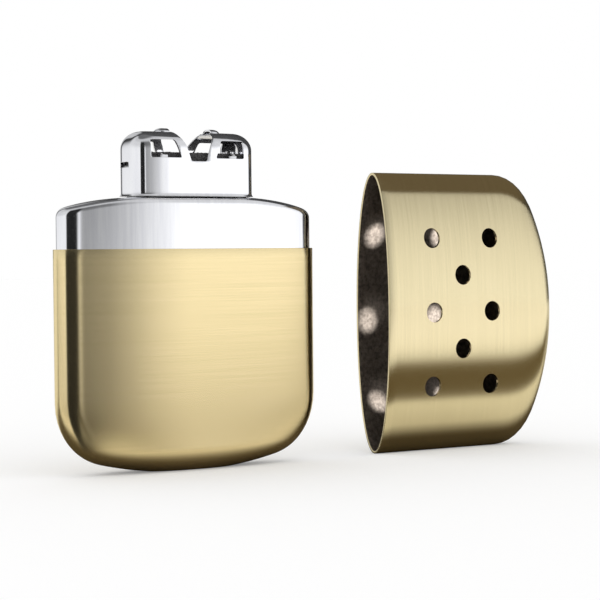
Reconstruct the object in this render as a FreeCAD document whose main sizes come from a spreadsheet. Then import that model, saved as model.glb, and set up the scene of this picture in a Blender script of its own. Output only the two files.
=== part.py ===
# Catalytic pocket hand warmer: a fuel tank with its burner plugged on, and the cap taken off.
#
# Frame: +Z up, +X across the tank towards the cap, front face towards -Y. The origin is the
# middle of the small flat under the tank, where it stands. The cap stands on its narrow side
# beside the tank, its mouth towards the tank. Millimetres.
import FreeCAD
import Part
import Sketcher
import math
import os

Vector = FreeCAD.Vector
doc = FreeCAD.newDocument("hand_warmer")


# ---------------------------------------------------------------- driving dimensions
DRIVING = {
    # tank: drawn sheet cup, oval in plan
    "tank_width": 67.0,
    "tank_thickness": 13.5,
    "tank_end_radius": 3.8,
    "case_height": 49.2,
    "case_wall": 0.6,
    "case_corner": 14.2,
    "case_arch": 97.0,
    "case_bottom_round": 5.8,
    "case_foot_rise": 0.6,
    # cap: the same oval, drawn deeper and rounder at its closed end
    "cap_length": 52.4,
    "cap_wall": 0.6,
    "cap_corner": 11.5,
    "cap_arch": 68.0,
    "cap_end_round": 5.0,
    "cap_crown_flat": 0.35,
    "cap_fit_clearance": 0.15,
    "cap_stand_off": 17.8,
    "vent_diameter": 4.8,
    "vent_first_from_rim": 13.4,
    "vent_column_pitch": 8.9,
    "vent_row_pitch": 8.9,
    # upper shell of the tank
    "dome_wall": 0.6,
    "dome_rise": 11.5,
    "dome_seat_width": 20.0,
    "dome_arch": 88.0,
    "dome_edge_round": 1.6,
    "skirt_depth": 8.0,
    "seam_height": 2.5,
    "seam_recess": 0.4,
    # filler neck
    "neck_width": 27.8,
    "neck_thickness": 7.6,
    "neck_corner": 3.0,
    "neck_wall": 0.5,
    "neck_height": 5.2,
    "neck_root": 3.2,
    "neck_braze_width": 0.5,
    "neck_braze_rise": 0.3,
    "guard_thickness": 0.4,
    "guard_drop": 4.4,
    "guard_hole": 2.4,
    "guard_hole_pitch": 4.4,
    # cotton
    "soft_clearance": 0.35,
    "lower_pad_top": 16.8,
    "middle_pad_top": 33.0,
    "felt_thickness": 2.6,
    "cotton_headroom": 3.55,
    "wick_inset": 0.4,
    # burner
    "burner_width": 30.9,
    "burner_thickness": 10.9,
    "burner_height": 14.3,
    "burner_wall": 0.45,
    "burner_side_radius": 4.6,
    "burner_top_radius": 3.9,
    "burner_seat_gap": 0.1,
    "lip_flare": 0.3,
    "lip_height": 0.4,
    "window_inner_low": 4.4,
    "window_inner_high": 6.0,
    "window_outer": 12.0,
    "window_sill": 8.45,
    "window_head": 12.4,
    "notch_low": 1.95,
    "notch_middle": 3.3,
    "notch_high": 5.2,
    "notch_sill": 7.7,
    "notch_bend": 11.4,
    "tab_middle": 8.9,
    "tab_width": 1.9,
    "tab_height": 0.7,
    "tab_reach": 0.9,
    "bead_start": 5.4,
    "bead_length": 2.9,
    "bead_width": 3.6,
    "bead_height": 0.85,
    "bead_wall": 0.4,
    "side_slot_low": 6.35,
    "side_slot_height": 1.2,
    "side_slot_front": 0.9,
    "side_slot_rear": 3.65,
    "sleeve_wall": 0.4,
    "sleeve_height": 5.6,
    "sleeve_rise": 0.4,
    "carrier_thickness": 0.4,
    "carrier_hole": 1.6,
    "carrier_hole_pitch": 2.9,
    "gauze_thickness": 0.3,
    "gauze_opening": 0.9,
    "gauze_pitch": 1.45,
    "mat_thickness": 3.1,
    "mat_side_gap": 0.45,
    "mat_face_gap": 1.15,
    "spring_sheet": 0.25,
    "spring_width": 12.0,
    "spring_length": 4.4,
    "spring_clearance": 0.06,
}


class Size(float):
    """A number that carries the sheet expression it comes from, for setExpression."""

    def __new__(cls, value, words):
        size = super().__new__(cls, value)
        size.words = words
        return size

    def __add__(self, other):
        return combine(self, "+", other, float(self) + float(other))

    def __radd__(self, other):
        return combine(other, "+", self, float(other) + float(self))

    def __sub__(self, other):
        return combine(self, "-", other, float(self) - float(other))

    def __rsub__(self, other):
        return combine(other, "-", self, float(other) - float(self))

    def __mul__(self, other):
        return combine(self, "*", other, float(self) * float(other))

    def __rmul__(self, other):
        return combine(other, "*", self, float(other) * float(self))

    def __truediv__(self, other):
        return combine(self, "/", other, float(self) / float(other))

    def __neg__(self):
        return 0 - self


def words_of(number):
    return number.words if isinstance(number, Size) else f"({float(number):.9g})"


def combine(left, sign, right, value):
    return Size(value, f"({words_of(left)} {sign} {words_of(right)})")


def root(number):
    return Size(math.sqrt(number), f"sqrt({words_of(number)})")


def make_sheet():
    sheet = doc.addObject("Spreadsheet::Sheet", "Sizes")
    sizes = {}
    for row, (name, value) in enumerate(DRIVING.items(), start=1):
        sheet.set(f"A{row}", name)
        sheet.set(f"B{row}", str(value))
        sheet.setAlias(f"B{row}", name)
        sizes[name] = Size(value, f"Sizes.{name}")
    doc.recompute()
    return sizes


v = make_sheet()
sub_parts = []


# ---------------------------------------------------------------- places worked out from them
dome_inset = v["cap_wall"] + v["cap_fit_clearance"]          # the cap slides over the dome
dome_width = v["tank_width"] - 2 * dome_inset
dome_thickness = v["tank_thickness"] - 2 * dome_inset
dome_end_radius = v["tank_end_radius"] - dome_inset
dome_top = v["case_height"] + v["dome_rise"]
skirt_bottom = v["case_height"] - v["skirt_depth"]
neck_bottom = dome_top - v["neck_root"]
neck_top = dome_top + v["neck_height"]
guard_bottom = neck_top - v["guard_drop"]
burner_bottom = dome_top + v["burner_seat_gap"]
burner_top = burner_bottom + v["burner_height"]
burner_bore_width = v["burner_width"] - 2 * v["burner_wall"]
burner_bore_thickness = v["burner_thickness"] - 2 * v["burner_wall"]
burner_bore_radius = v["burner_side_radius"] - v["burner_wall"]
sleeve_bottom = burner_bottom + v["sleeve_rise"]
sleeve_top = sleeve_bottom + v["sleeve_height"]
carrier_top = sleeve_top + v["carrier_thickness"]
gauze_top = carrier_top + v["gauze_thickness"]
cap_mouth_x = v["tank_width"] / 2 + v["cap_stand_off"]
cap_middle_z = v["tank_width"] / 2                           # it stands on its narrow side


# ---------------------------------------------------------------- helpers
def new_body(name):
    body = doc.addObject("PartDesign::Body", name)
    body.Label = name
    return body


def new_part(name):
    """A body that is a piece of its own, written to a file."""
    body = new_body(name)
    sub_parts.append(body)
    return body


def new_sketch(body, name, role="XY_Plane", level=None):
    sketch = body.newObject("Sketcher::SketchObject", name)
    plane = next(f for f in body.Origin.OriginFeatures if f.Role == role)
    sketch.AttachmentSupport = [(plane, "")]
    sketch.MapMode = "FlatFace"
    if level is not None:
        sketch.AttachmentOffset = FreeCAD.Placement(Vector(0, 0, float(level)), FreeCAD.Rotation())
        sketch.setExpression("AttachmentOffset.Base.z", words_of(level))
    return sketch


def hold(sketch, kind, *numbers):
    """Add a constraint; when its last number is a Size, the sheet drives it."""
    size = numbers[-1]
    if isinstance(size, Size):
        index = sketch.addConstraint(Sketcher.Constraint(kind, *numbers[:-1], float(size)))
        sketch.setExpression(f"Constraints[{index}]", size.words)
    else:
        sketch.addConstraint(Sketcher.Constraint(kind, *numbers))


def add_arc(sketch, x, y, radius, start, end):
    circle = Part.Circle(Vector(float(x), float(y), 0), Vector(0, 0, 1), float(radius))
    return sketch.addGeometry(Part.ArcOfCircle(circle, start, end), False)


def add_line(sketch, x1, y1, x2, y2):
    line = Part.LineSegment(Vector(float(x1), float(y1), 0), Vector(float(x2), float(y2), 0))
    return sketch.addGeometry(line, False)


def draw_oval(sketch, width, thickness, end_radius):
    """Four tangent arcs: two wide faces and two narrow ends."""
    end_x = width / 2 - end_radius
    half = thickness / 2
    face_radius = (end_x * end_x + half * half - end_radius * end_radius) / (2 * (half - end_radius))
    drop = face_radius - half
    turn = math.atan2(drop, end_x)
    right = add_arc(sketch, end_x, 0, end_radius, -turn, turn)
    top = add_arc(sketch, 0, -drop, face_radius, turn, math.pi - turn)
    left = add_arc(sketch, -end_x, 0, end_radius, math.pi - turn, math.pi + turn)
    low = add_arc(sketch, 0, drop, face_radius, math.pi + turn, 2 * math.pi - turn)
    for first, second in ((right, top), (top, left), (left, low), (low, right)):
        hold(sketch, "Tangent", first, 2, second, 1)
    hold(sketch, "PointOnObject", top, 3, -2)
    hold(sketch, "PointOnObject", low, 3, -2)
    hold(sketch, "Equal", right, left)
    hold(sketch, "Equal", top, low)
    hold(sketch, "Radius", right, end_radius)
    hold(sketch, "Radius", top, face_radius)
    hold(sketch, "DistanceY", top, 3, -1, 1, drop)
    hold(sketch, "DistanceY", -1, 1, low, 3, drop)


def draw_round_box(sketch, width, depth, radius, x=0, y=0):
    """A rectangle with rounded corners about the point x, y."""
    a, b, r = float(width) / 2, float(depth) / 2, float(radius)
    quarter = math.pi / 2
    right = add_line(sketch, x + a, y - b + r, x + a, y + b - r)
    corner_1 = add_arc(sketch, x + a - r, y + b - r, r, 0, quarter)
    top = add_line(sketch, x + a - r, y + b, x - a + r, y + b)
    corner_2 = add_arc(sketch, x - a + r, y + b - r, r, quarter, 2 * quarter)
    left = add_line(sketch, x - a, y + b - r, x - a, y - b + r)
    corner_3 = add_arc(sketch, x - a + r, y - b + r, r, 2 * quarter, 3 * quarter)
    low = add_line(sketch, x - a + r, y - b, x + a - r, y - b)
    corner_4 = add_arc(sketch, x + a - r, y - b + r, r, 3 * quarter, 4 * quarter)
    chain = (right, corner_1, top, corner_2, left, corner_3, low, corner_4)
    for first, second in zip(chain, chain[1:] + chain[:1]):
        hold(sketch, "Tangent", first, 2, second, 1)
    for line in (right, left):
        hold(sketch, "Vertical", line)
    for line in (top, low):
        hold(sketch, "Horizontal", line)
    for corner in (corner_2, corner_3, corner_4):
        hold(sketch, "Equal", corner_1, corner)
    hold(sketch, "Radius", corner_1, radius)
    hold(sketch, "DistanceX", -1, 1, right, 1, width / 2 + x)
    hold(sketch, "DistanceX", left, 1, -1, 1, width / 2 - x)
    hold(sketch, "DistanceY", -1, 1, top, 1, depth / 2 + y)
    hold(sketch, "DistanceY", low, 1, -1, 1, depth / 2 - y)


def draw_polygon(sketch, points):
    """Straight edges through points, each corner held by its two distances from the origin."""
    lines = []
    for (x1, y1), (x2, y2) in zip(points, points[1:] + points[:1]):
        lines.append(add_line(sketch, x1, y1, x2, y2))
    for first, second in zip(lines, lines[1:] + lines[:1]):
        hold(sketch, "Coincident", first, 2, second, 1)
    for line, (x, y) in zip(lines, points):
        hold_point(sketch, line, 1, x, y)


def hold_point(sketch, shape, end, x, y):
    for kind, value in (("DistanceX", x), ("DistanceY", y)):
        if float(value) == 0:
            hold(sketch, "PointOnObject", shape, end, -2 if kind == "DistanceX" else -1)
        elif float(value) > 0:
            hold(sketch, kind, -1, 1, shape, end, as_size(value))
        else:
            hold(sketch, kind, shape, end, -1, 1, as_size(-value))


def as_size(number):
    return number if isinstance(number, Size) else Size(number, words_of(number))


def draw_circle(sketch, x, y, diameter):
    circle = Part.Circle(Vector(float(x), float(y), 0), Vector(0, 0, 1), float(diameter) / 2)
    index = sketch.addGeometry(circle, False)
    hold(sketch, "Diameter", index, diameter)
    hold_point(sketch, index, 3, x, y)


def pad(body, name, sketch, length, symmetric=False):
    feature = body.newObject("PartDesign::Pad", name)
    feature.Profile = sketch
    feature.Length = float(length)
    feature.setExpression("Length", words_of(length))
    if symmetric:
        feature.SideType = "Symmetric"
    doc.recompute()
    return feature


def pocket(body, name, sketch, length=None, symmetric=False, upward=False):
    """Cut along the sketch's normal when upward, against it otherwise; no length cuts through."""
    before = body.Shape.Volume
    feature = body.newObject("PartDesign::Pocket", name)
    feature.Profile = sketch
    if length is None:
        feature.Type = "ThroughAll"
    else:
        feature.Length = float(length)
        feature.setExpression("Length", words_of(length))
    feature.Reversed = upward
    if symmetric:
        feature.SideType = "Symmetric"
    doc.recompute()
    if not body.Shape.Volume < before:
        raise RuntimeError(f"{body.Label}: {name} cuts nothing")
    return feature


def loft(body, name, sketches, additive=True):
    kind = "PartDesign::AdditiveLoft" if additive else "PartDesign::SubtractiveLoft"
    feature = body.newObject(kind, name)
    feature.Profile = sketches[0]
    feature.Sections = sketches[1:]
    feature.Ruled = True
    doc.recompute()
    return feature


def slab(body, name, draw, bottom, height):
    """Pad whatever draw puts on a horizontal sketch, from bottom upwards."""
    sketch = new_sketch(body, name + "_plan", level=bottom)
    draw(sketch)
    return pad(body, name, sketch, height)


# ---------------------------------------------------------------- drawn cups: tank case and cap
round_steps = 9         # turns round the closed edge
corner_steps = 4        # and steps from there up the corners


def cup_outline(form, inset):
    """Heights of the closed end above its lowest point, with the oval's size at each."""
    half = form["width"] / 2 - inset
    half_thickness = form["thickness"] / 2 - inset
    corner = form["corner"] - inset
    arch = form["arch"] - inset
    roundness = form["round"] - inset
    end_radius = form["end_radius"] - inset
    corner_x = half - corner
    reach = arch - corner
    corner_z = arch - root(reach * reach - corner_x * corner_x)
    meeting = arch - arch * ((arch - corner_z) / reach)
    # even turns round the closed edge, then even steps up the corners
    first_turn = math.acos(1 - float(form["flat"] / roundness))
    turns = [first_turn + (math.pi / 2 - first_turn) * step / round_steps for step in range(1, round_steps)]
    heights = [form["flat"]]
    heights += [roundness * (1 - math.cos(turn)) for turn in turns]
    heights += [roundness + (corner_z - roundness) * step / corner_steps for step in range(corner_steps + 1)]
    sections = []
    for height in heights:
        if height < meeting:
            x = root(arch * arch - (arch - height) * (arch - height))
        elif height < corner_z:
            x = corner_x + root(corner * corner - (corner_z - height) * (corner_z - height))
        else:
            x = half
        share = 1
        if height < roundness:
            rest = (roundness - height) / roundness
            share = root(1 - rest * rest)
        sections.append((height, 2 * x, 2 * half_thickness * share, end_radius * share))
    return sections


def cup_loft(body, form, inset, name, additive=True):
    """Closed end of a cup as a loft of ovals; returns the last sketch and its height."""
    sketches = []
    for number, (height, width, thickness, end_radius) in enumerate(cup_outline(form, inset), start=1):
        level = height + inset - form["flat"]
        sketch = new_sketch(body, f"{name}_oval_{number}", level=level)
        draw_oval(sketch, width, thickness, end_radius)
        sketches.append(sketch)
    loft(body, name, sketches, additive)
    return sketches[-1], level


def make_cup(body, form):
    rim, level = cup_loft(body, form, 0, "outside_end")
    pad(body, "outside_wall", rim, form["height"] - level)
    rim, level = cup_loft(body, form, form["wall"], "inside_end", additive=False)
    pocket(body, "inside_wall", rim, form["height"] - level, upward=True)


case_form = {
    "width": v["tank_width"], "thickness": v["tank_thickness"], "end_radius": v["tank_end_radius"],
    "height": v["case_height"], "wall": v["case_wall"], "corner": v["case_corner"],
    "arch": v["case_arch"], "round": v["case_bottom_round"], "flat": v["case_foot_rise"],
}
cap_form = {
    "width": v["tank_width"], "thickness": v["tank_thickness"], "end_radius": v["tank_end_radius"],
    "height": v["cap_length"], "wall": v["cap_wall"], "corner": v["cap_corner"],
    "arch": v["cap_arch"], "round": v["cap_end_round"], "flat": v["cap_crown_flat"],
}


def make_case_shell():
    make_cup(new_part("case_shell"), case_form)


def make_cap_shell():
    """Built mouth up, then laid with its mouth towards the tank."""
    body = new_part("cap_shell")
    make_cup(body, cap_form)
    sketch = new_sketch(body, "vent_holes", "XZ_Plane")
    for column, rows in ((0, (-2, 0, 2)), (1, (-1, 1)), (2, (-2, 0, 2))):
        from_rim = v["vent_first_from_rim"] + column * v["vent_column_pitch"]
        for row in rows:
            draw_circle(sketch, row * v["vent_row_pitch"], v["cap_length"] - from_rim, v["vent_diameter"])
    pocket(body, "vents", sketch, v["tank_thickness"] * 2, symmetric=True)
    turn = FreeCAD.Rotation(Vector(0, 1, 0), -90)
    crown_x = cap_mouth_x + v["cap_length"]
    body.Placement = FreeCAD.Placement(Vector(float(crown_x), 0, float(cap_middle_z)), turn)
    body.setExpression("Placement.Base.x", words_of(crown_x))
    body.setExpression("Placement.Base.z", words_of(cap_middle_z))


# ---------------------------------------------------------------- upper shell and its seam
def make_dome_form(name, inset):
    """The dome's outside, or at a wall's inset its inside, as a solid."""
    body = new_body(name)
    sketch = new_sketch(body, "plan_view", level=skirt_bottom)
    draw_oval(sketch, dome_width - 2 * inset, dome_thickness - 2 * inset, dome_end_radius - inset)
    pad(body, "block", sketch, v["skirt_depth"] + v["dome_rise"] + v["dome_wall"])
    top = dome_top - inset
    over = top + v["dome_rise"] * 2
    side = v["tank_width"] / 2
    seat = v["dome_seat_width"] / 2
    # the room above a flat seat for the burner and an arch down to each end, cut away
    sketch = new_sketch(body, "above_arch", "XZ_Plane")
    arch = v["dome_arch"] - inset
    reach = side - seat
    shoulder = top - arch + root(arch * arch - reach * reach)
    turn = math.acos(float(reach / arch))
    right_arch = add_arc(sketch, seat, top - arch, arch, turn, math.pi / 2)
    flat = add_line(sketch, seat, top, -seat, top)
    left_arch = add_arc(sketch, -seat, top - arch, arch, math.pi / 2, math.pi - turn)
    left = add_line(sketch, -side, shoulder, -side, over)
    lid = add_line(sketch, -side, over, side, over)
    right = add_line(sketch, side, over, side, shoulder)
    for first, second in ((left_arch, left), (left, lid), (lid, right), (right, right_arch)):
        hold(sketch, "Coincident", first, 2, second, 1)
    hold(sketch, "Tangent", right_arch, 2, flat, 1)
    hold(sketch, "Tangent", flat, 2, left_arch, 1)
    hold(sketch, "Radius", right_arch, arch)
    hold(sketch, "Equal", right_arch, left_arch)
    hold_point(sketch, right_arch, 3, seat, top - arch)
    hold_point(sketch, left_arch, 3, -seat, top - arch)
    hold(sketch, "Vertical", left)
    hold(sketch, "Vertical", right)
    hold_point(sketch, lid, 1, -side, over)
    hold_point(sketch, lid, 2, side, over)
    pocket(body, "arch", sketch, v["tank_thickness"] * 2, symmetric=True)
    # every edge round the top, but not the two smooth lines where the arches leave the seat
    low = float(v["case_height"])
    edges = [f"Edge{number}" for number, edge in enumerate(body.Shape.Edges, start=1)
             if edge.BoundBox.ZMin > low and edge.BoundBox.XLength > Part.Precision.confusion()]
    base = body.Tip
    rounding = body.newObject("PartDesign::Fillet", "edge_round")
    rounding.Base = (base, edges)
    rounding.Radius = float(v["dome_edge_round"] - inset)
    rounding.setExpression("Radius", words_of(v["dome_edge_round"] - inset))
    doc.recompute()
    return body


def make_tank_dome():
    """Outside less inside, with the oblong hole that the neck is brazed into."""
    outside = make_dome_form("dome_outside", 0)
    sketch = new_sketch(outside, "neck_hole", level=v["case_height"])
    draw_round_box(sketch, v["neck_width"] + 2 * v["neck_braze_width"],
                   v["neck_thickness"] + 2 * v["neck_braze_width"],
                   v["neck_corner"] + v["neck_braze_width"])
    pocket(outside, "neck_opening", sketch, v["dome_rise"] * 2, upward=True)
    dome = doc.addObject("Part::Cut", "tank_dome")
    dome.Label = "tank_dome"
    dome.Base = outside
    dome.Tool = make_dome_form("dome_inside", v["dome_wall"])
    doc.recompute()
    sub_parts.append(dome)


def make_dome_solder_seam():
    body = new_part("dome_solder_seam")
    top = v["case_height"] - v["seam_recess"]

    def draw(sketch):
        inner = v["case_wall"]
        draw_oval(sketch, v["tank_width"] - 2 * inner, v["tank_thickness"] - 2 * inner,
                  v["tank_end_radius"] - inner)
        draw_oval(sketch, dome_width, dome_thickness, dome_end_radius)

    slab(body, "band", draw, top - v["seam_height"], v["seam_height"])


# ---------------------------------------------------------------- filler neck
def make_neck_collar():
    body = new_part("neck_collar")
    wall = v["neck_wall"]

    def draw(sketch):
        draw_round_box(sketch, v["neck_width"], v["neck_thickness"], v["neck_corner"])
        draw_round_box(sketch, v["neck_width"] - 2 * wall, v["neck_thickness"] - 2 * wall,
                       v["neck_corner"] - wall)

    slab(body, "tube", draw, neck_bottom, v["neck_root"] + v["neck_height"])


def make_neck_solder_ring():
    body = new_part("neck_solder_ring")
    width = v["neck_braze_width"]
    drop = v["dome_wall"] + width

    def draw(sketch):
        draw_round_box(sketch, v["neck_width"] + 2 * width, v["neck_thickness"] + 2 * width,
                       v["neck_corner"] + width)
        draw_round_box(sketch, v["neck_width"], v["neck_thickness"], v["neck_corner"])

    slab(body, "ring", draw, dome_top - drop, drop + v["neck_braze_rise"])


def make_cotton_guard():
    """The perforated plate that keeps the cotton down in the neck."""
    body = new_part("cotton_guard")
    wall = v["neck_wall"]

    def draw(sketch):
        draw_round_box(sketch, v["neck_width"] - 2 * wall, v["neck_thickness"] - 2 * wall,
                       v["neck_corner"] - wall)
        for number in range(-2, 3):
            draw_circle(sketch, number * v["guard_hole_pitch"], 0, v["guard_hole"])

    slab(body, "plate", draw, guard_bottom, v["guard_thickness"])


# ---------------------------------------------------------------- cotton
felt_top = neck_bottom - v["cotton_headroom"]
felt_bottom = felt_top - v["felt_thickness"]
upper_pad_top = felt_bottom - v["soft_clearance"]
wick_bottom = felt_top + v["soft_clearance"]


def make_lower_cotton_pad():
    body = new_part("lower_cotton_pad")
    inset = v["case_wall"] + v["soft_clearance"]
    rim, level = cup_loft(body, case_form, inset, "rounded_end")
    pad(body, "straight_part", rim, v["lower_pad_top"] - level)


def make_oval_pad(name, inset, bottom, top):
    """A cotton layer, an even distance inside the tank's outside."""
    body = new_part(name)

    def draw(sketch):
        draw_oval(sketch, v["tank_width"] - 2 * inset, v["tank_thickness"] - 2 * inset,
                  v["tank_end_radius"] - inset)

    slab(body, "layer", draw, bottom, top - bottom)


def make_neck_wick():
    body = new_part("neck_wick")
    inset = v["neck_wall"] + v["wick_inset"]

    def draw(sketch):
        draw_round_box(sketch, v["neck_width"] - 2 * inset, v["neck_thickness"] - 2 * inset,
                       v["neck_corner"] - inset)

    slab(body, "roll", draw, wick_bottom, guard_bottom - v["soft_clearance"] - wick_bottom)


def make_cotton():
    make_lower_cotton_pad()
    in_case = v["case_wall"] + v["soft_clearance"]
    in_dome = dome_inset + v["dome_wall"] + v["soft_clearance"]
    gap = v["soft_clearance"]
    make_oval_pad("middle_cotton_pad", in_case, v["lower_pad_top"] + gap, v["middle_pad_top"])
    make_oval_pad("upper_cotton_pad", in_dome, v["middle_pad_top"] + gap, upper_pad_top)
    make_oval_pad("cotton_felt", in_dome, felt_bottom, felt_top)
    make_neck_wick()


# ---------------------------------------------------------------- burner
top_round_turns = (0, 22.5, 45, 65, 82)     # degrees round the top's edge, from its side upwards


def rounded_block(body, name, inset, bottom, top, additive=True):
    """The burner's block: upright sides, then a top rounded on all four sides by a loft."""
    radius = v["burner_top_radius"] - inset
    sketches = []
    spring_line = top - radius
    for angle in top_round_turns:
        rise = radius * math.sin(math.radians(angle))
        back = inset + radius * (1 - math.cos(math.radians(angle)))
        sketch = new_sketch(body, f"{name}_level_{len(sketches) + 1}", level=spring_line + rise)
        draw_round_box(sketch, v["burner_width"] - 2 * back, v["burner_thickness"] - 2 * back,
                       v["burner_side_radius"] - back)
        sketches.append(sketch)
    loft(body, name + "_top", sketches, additive)
    base = new_sketch(body, name + "_base", level=bottom)
    draw_round_box(base, v["burner_width"] - 2 * inset, v["burner_thickness"] - 2 * inset,
                   v["burner_side_radius"] - inset)
    if additive:
        pad(body, name + "_sides", base, spring_line - bottom)
    else:
        pocket(body, name + "_sides", base, spring_line - bottom, upward=True)


def make_burner_housing():
    body = new_part("burner_housing")
    wall = v["burner_wall"]
    rounded_block(body, "outside", 0, burner_bottom, burner_top)

    def draw_lip(sketch):
        draw_round_box(sketch, v["burner_width"] + 2 * v["lip_flare"],
                       v["burner_thickness"] + 2 * v["lip_flare"],
                       v["burner_side_radius"] + v["lip_flare"])

    slab(body, "lip", draw_lip, burner_bottom, v["lip_height"])
    for side in (-1, 1):
        add_bead(body, side)
    rounded_block(body, "inside", wall, burner_bottom, burner_top - wall, additive=False)
    for side in (-1, 1):
        cut_bead(body, side)
    cut_notch(body)
    cut_windows(body)
    cut_side_slots(body)
    for side in (-1, 1):
        for face in (-1, 1):
            add_tab(body, side, face)


def draw_cap_segment(sketch, width, height, base):
    """A low round segment standing on the height base."""
    half = width / 2
    radius = (half * half + height * height) / (2 * height)
    centre = base + height - radius
    turn = math.atan2(float(base - centre), float(half))
    crown = add_arc(sketch, 0, centre, radius, turn, math.pi - turn)
    foot = add_line(sketch, -half, base, half, base)
    hold(sketch, "Coincident", crown, 2, foot, 1)
    hold(sketch, "Coincident", foot, 2, crown, 1)
    hold(sketch, "Horizontal", foot)
    hold(sketch, "PointOnObject", crown, 3, -2)
    hold(sketch, "Radius", crown, radius)
    hold_point(sketch, foot, 2, half, base)


def bead_sketch(body, name, side, inset, start, depth):
    """Across the burner's top, at the notch side of a bead."""
    sketch = new_sketch(body, name, "YZ_Plane", level=side * start)
    base = burner_top - depth
    draw_cap_segment(sketch, v["bead_width"] - 2 * inset, v["bead_height"] + depth - inset, base)
    return sketch


def add_bead(body, side):
    word = "right" if side > 0 else "left"
    sketch = bead_sketch(body, f"bead_{word}_section", side, 0, v["bead_start"], v["burner_wall"])
    feature = pad(body, f"bead_{word}", sketch, v["bead_length"])
    feature.Reversed = side < 0


def cut_bead(body, side):
    """Each bead is hollow and open towards the notch."""
    word = "right" if side > 0 else "left"
    start = v["bead_start"] - v["bead_wall"]
    sketch = bead_sketch(body, f"bead_{word}_bore", side, v["bead_wall"], start, v["burner_wall"])
    pocket(body, f"bead_{word}_hollow", sketch, v["bead_length"], upward=side > 0)


def cut_notch(body):
    """The middle of both faces and of the top, wider above than below."""
    sill = burner_bottom + v["notch_sill"]
    bend = burner_bottom + v["notch_bend"]
    over = burner_top + v["bead_height"]
    right = [(v["notch_low"], sill), (v["notch_middle"], bend), (v["notch_high"], burner_top),
             (v["notch_high"], over)]
    left = [(-x, z) for x, z in reversed(right)]
    sketch = new_sketch(body, "notch_outline", "XZ_Plane")
    draw_polygon(sketch, left + right)
    pocket(body, "notch", sketch, v["burner_thickness"] * 2, symmetric=True)


def cut_windows(body):
    """A window each side of the notch, through both faces, slanted beside the notch."""
    sill = burner_bottom + v["window_sill"]
    head = burner_bottom + v["window_head"]
    right = [(v["window_inner_low"], sill), (v["window_outer"], sill),
             (v["window_outer"], head), (v["window_inner_high"], head)]
    sketch = new_sketch(body, "window_outline", "XZ_Plane")
    draw_polygon(sketch, right)
    draw_polygon(sketch, [(-x, z) for x, z in right])
    pocket(body, "windows", sketch, v["burner_thickness"] * 2, symmetric=True)


def cut_side_slots(body):
    """A short air slot in each end, from the rounded rear corner to the middle."""
    low = burner_bottom + v["side_slot_low"]
    high = low + v["side_slot_height"]
    rear = v["side_slot_rear"]
    sketch = new_sketch(body, "side_slot_outline", "YZ_Plane")
    draw_polygon(sketch, [(-v["side_slot_front"], low), (rear, low), (rear, high),
                          (-v["side_slot_front"], high)])
    pocket(body, "side_slots", sketch, v["burner_width"] * 2, symmetric=True)


def add_tab(body, side, face):
    """A finger of the face, bent in over the catalyst at the window's sill."""
    word = ("right" if side > 0 else "left") + ("_front" if face < 0 else "_rear")
    sill = burner_bottom + v["window_sill"]
    outer = v["burner_thickness"] / 2
    inner = outer - v["burner_wall"] - v["tab_reach"]
    sketch = new_sketch(body, f"tab_{word}_side_view", "YZ_Plane",
                        level=side * v["tab_middle"])
    root_z = sill - v["tab_height"]
    points = [(face * outer, root_z), (face * outer, sill), (face * inner, sill + v["tab_height"]),
              (face * inner, sill), (face * (outer - v["burner_wall"]), root_z)]
    draw_polygon(sketch, points)
    pad(body, f"tab_{word}", sketch, v["tab_width"], symmetric=True)


def make_burner_sleeve():
    """The inner sleeve that carries the catalyst and slides over the neck."""
    body = new_part("burner_sleeve")
    wall = v["sleeve_wall"]

    def draw(sketch):
        draw_round_box(sketch, burner_bore_width, burner_bore_thickness, burner_bore_radius)
        draw_round_box(sketch, burner_bore_width - 2 * wall, burner_bore_thickness - 2 * wall,
                       burner_bore_radius - wall)

    slab(body, "tube", draw, sleeve_bottom, v["sleeve_height"])


def make_perforated_plate(name, bottom, thickness, hole, pitch, draw_hole):
    """A plate across the burner's bore, with holes in even rows over the neck."""
    body = new_part(name)
    columns = int((float(v["neck_width"]) - float(hole)) / float(pitch) / 2)
    rows = int((float(v["neck_thickness"]) - float(hole)) / float(pitch) / 2)

    def draw(sketch):
        draw_round_box(sketch, burner_bore_width, burner_bore_thickness, burner_bore_radius)

    slab(body, "plate", draw, bottom, thickness)
    sketch = new_sketch(body, "first_hole", level=bottom)
    draw_hole(sketch, -columns * pitch, -rows * pitch, hole)
    cut = pocket(body, "hole", sketch, thickness, upward=True)
    grid = body.newObject("PartDesign::LinearPattern", "grid")
    grid.Originals = [cut]
    grid.Direction = (sketch, ["H_Axis"])
    grid.Direction2 = (sketch, ["V_Axis"])
    grid.Mode = "Spacing"
    grid.Mode2 = "Spacing"
    for offset in ("Offset", "Offset2"):
        grid.setExpression(offset, words_of(pitch))
    grid.Offset = float(pitch)
    grid.Offset2 = float(pitch)
    grid.Occurrences = 2 * columns + 1
    grid.Occurrences2 = 2 * rows + 1
    before = cut.Shape.Volume
    body.Tip = grid
    doc.recompute()
    if not body.Shape.Volume < before:
        raise RuntimeError(f"{name}: the grid cuts nothing")


def draw_square_hole(sketch, x, y, side):
    """A small square opening, its middle at x, y."""
    draw_polygon(sketch, [(x - side / 2, y - side / 2), (x + side / 2, y - side / 2),
                          (x + side / 2, y + side / 2), (x - side / 2, y + side / 2)])


def make_catalyst_mat():
    """The glass-fibre mat: clear of the walls and of the tabs over it."""
    body = new_part("catalyst_mat")

    def draw(sketch):
        draw_round_box(sketch, burner_bore_width - 2 * v["mat_side_gap"],
                       burner_bore_thickness - 2 * v["mat_face_gap"],
                       burner_bore_radius - v["mat_face_gap"])

    slab(body, "mat", draw, gauze_top, v["mat_thickness"])


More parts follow.
